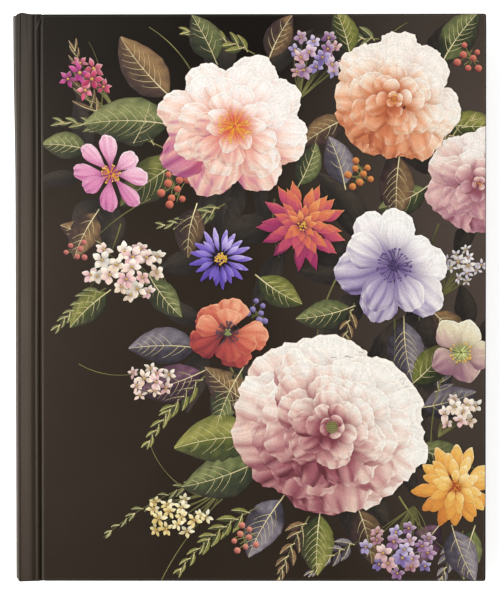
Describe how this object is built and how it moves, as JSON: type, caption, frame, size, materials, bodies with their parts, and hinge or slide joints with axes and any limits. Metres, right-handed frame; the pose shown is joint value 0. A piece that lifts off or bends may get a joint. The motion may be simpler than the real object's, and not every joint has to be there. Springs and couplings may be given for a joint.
{
  "type": "journal",
  "caption": "Case-bound journal with hard covers, pressed joints, sewn sections and endbands, opening flat at the middle of its text block.",
  "frame": {"origin": "centre of the outer faces of the closed book in plan, at the level of the back cover's outer face", "axes": "+Z from the back cover to the front cover, +Y towards the head, +X from the spine to the fore-edge"},
  "size_m": [0.19, 0.2286, 0.0191],
  "materials": {
    "cover_wrap": "printed paper with a satin film",
    "greyboard": "plain greyboard",
    "endpaper": "matt printed paper",
    "writing_paper": "matt cream paper",
    "sewing_thread": "linen thread",
    "mull_cloth": "open starched cloth",
    "endband_silk": "wound silk"
  },
  "bodies": {
    "back_cover": {"back_board": "greyboard", "back_cover_wrap": "cover_wrap", "back_joint_strip": "cover_wrap", "back_pastedown": "endpaper", "mull": "mull_cloth", "spine_liner": "greyboard", "headband": "endband_silk", "tailband": "endband_silk"},
    "spine": {"spine_board": "greyboard", "spine_wrap": "cover_wrap"},
    "front_cover": {"front_board": "greyboard", "front_cover_wrap": "cover_wrap", "front_joint_strip": "cover_wrap", "front_pastedown": "endpaper"},
    "leaves_12": {"section_12": "writing_paper", "thread_12": "sewing_thread", "back_flyleaf": "endpaper"},
    "leaves_11": {"section_11": "writing_paper", "thread_11": "sewing_thread"},
    "leaves_10": {"section_10": "writing_paper", "thread_10": "sewing_thread"},
    "leaves_09": {"section_09": "writing_paper", "thread_09": "sewing_thread"},
    "leaves_08": {"section_08": "writing_paper", "thread_08": "sewing_thread"},
    "leaves_07": {"section_07": "writing_paper", "thread_07": "sewing_thread"},
    "leaves_06": {"section_06": "writing_paper", "thread_06": "sewing_thread"},
    "leaves_05": {"section_05": "writing_paper", "thread_05": "sewing_thread"},
    "leaves_04": {"section_04": "writing_paper", "thread_04": "sewing_thread"},
    "leaves_03": {"section_03": "writing_paper", "thread_03": "sewing_thread"},
    "leaves_02": {"section_02": "writing_paper", "thread_02": "sewing_thread"},
    "leaves_01": {"section_01": "writing_paper", "thread_01": "sewing_thread", "front_flyleaf": "endpaper"}
  },
  "joints": [
    {"name": "spine_hinge", "type": "hinge", "parent": "back_cover", "child": "spine", "pos_m": [-0.095, 0, 0], "axis": [0, -1, 0], "range_deg": [0, 90]},
    {"name": "front_cover_hinge", "type": "hinge", "parent": "spine", "child": "front_cover", "pos_m": [-0.095, 0, 0.01905], "axis": [0, -1, 0], "range_deg": [0, 90]},
    {"name": "text_block_shift", "type": "slide", "parent": "back_cover", "child": "leaves_12", "axis": [-1, 0, 0], "range_m": [0, 0.005], "deforming": ["mull", "spine_liner", "headband", "tailband"]},
    {"name": "section_11_shift", "type": "slide", "parent": "leaves_12", "child": "leaves_11", "axis": [-1, 0, 0], "range_m": [0, 0.00165]},
    {"name": "section_10_shift", "type": "slide", "parent": "leaves_11", "child": "leaves_10", "axis": [-1, 0, 0], "range_m": [0, 0.00165]},
    {"name": "section_09_shift", "type": "slide", "parent": "leaves_10", "child": "leaves_09", "axis": [-1, 0, 0], "range_m": [0, 0.00165]},
    {"name": "section_08_shift", "type": "slide", "parent": "leaves_09", "child": "leaves_08", "axis": [-1, 0, 0], "range_m": [0, 0.00165]},
    {"name": "section_07_shift", "type": "slide", "parent": "leaves_08", "child": "leaves_07", "axis": [-1, 0, 0], "range_m": [0, 0.00165]},
    {"name": "opening_turn", "type": "hinge", "parent": "leaves_07", "child": "leaves_06", "pos_m": [-0.09135, 0, 0.00953], "axis": [0, -1, 0], "range_deg": [0, 180]},
    {"name": "section_05_shift", "type": "slide", "parent": "leaves_06", "child": "leaves_05", "axis": [1, 0, 0], "range_m": [0, 0.00165]},
    {"name": "section_04_shift", "type": "slide", "parent": "leaves_05", "child": "leaves_04", "axis": [1, 0, 0], "range_m": [0, 0.00165]},
    {"name": "section_03_shift", "type": "slide", "parent": "leaves_04", "child": "leaves_03", "axis": [1, 0, 0], "range_m": [0, 0.00165]},
    {"name": "section_02_shift", "type": "slide", "parent": "leaves_03", "child": "leaves_02", "axis": [1, 0, 0], "range_m": [0, 0.00165]},
    {"name": "section_01_shift", "type": "slide", "parent": "leaves_02", "child": "leaves_01", "axis": [1, 0, 0], "range_m": [0, 0.00165]}
  ],
  "couplings": [
    {"joint": "spine_hinge", "follows": "text_block_shift", "rad_per_m": 314.16},
    {"joint": "front_cover_hinge", "follows": "text_block_shift", "rad_per_m": 314.16},
    {"joint": "section_11_shift", "follows": "text_block_shift", "ratio": 0.327},
    {"joint": "section_10_shift", "follows": "text_block_shift", "ratio": 0.327},
    {"joint": "section_09_shift", "follows": "text_block_shift", "ratio": 0.327},
    {"joint": "section_08_shift", "follows": "text_block_shift", "ratio": 0.327},
    {"joint": "section_07_shift", "follows": "text_block_shift", "ratio": 0.327},
    {"joint": "opening_turn", "follows": "text_block_shift", "rad_per_m": 628.32},
    {"joint": "section_05_shift", "follows": "text_block_shift", "ratio": 0.327},
    {"joint": "section_04_shift", "follows": "text_block_shift", "ratio": 0.327},
    {"joint": "section_03_shift", "follows": "text_block_shift", "ratio": 0.327},
    {"joint": "section_02_shift", "follows": "text_block_shift", "ratio": 0.327},
    {"joint": "section_01_shift", "follows": "text_block_shift", "ratio": 0.327}
  ]
}
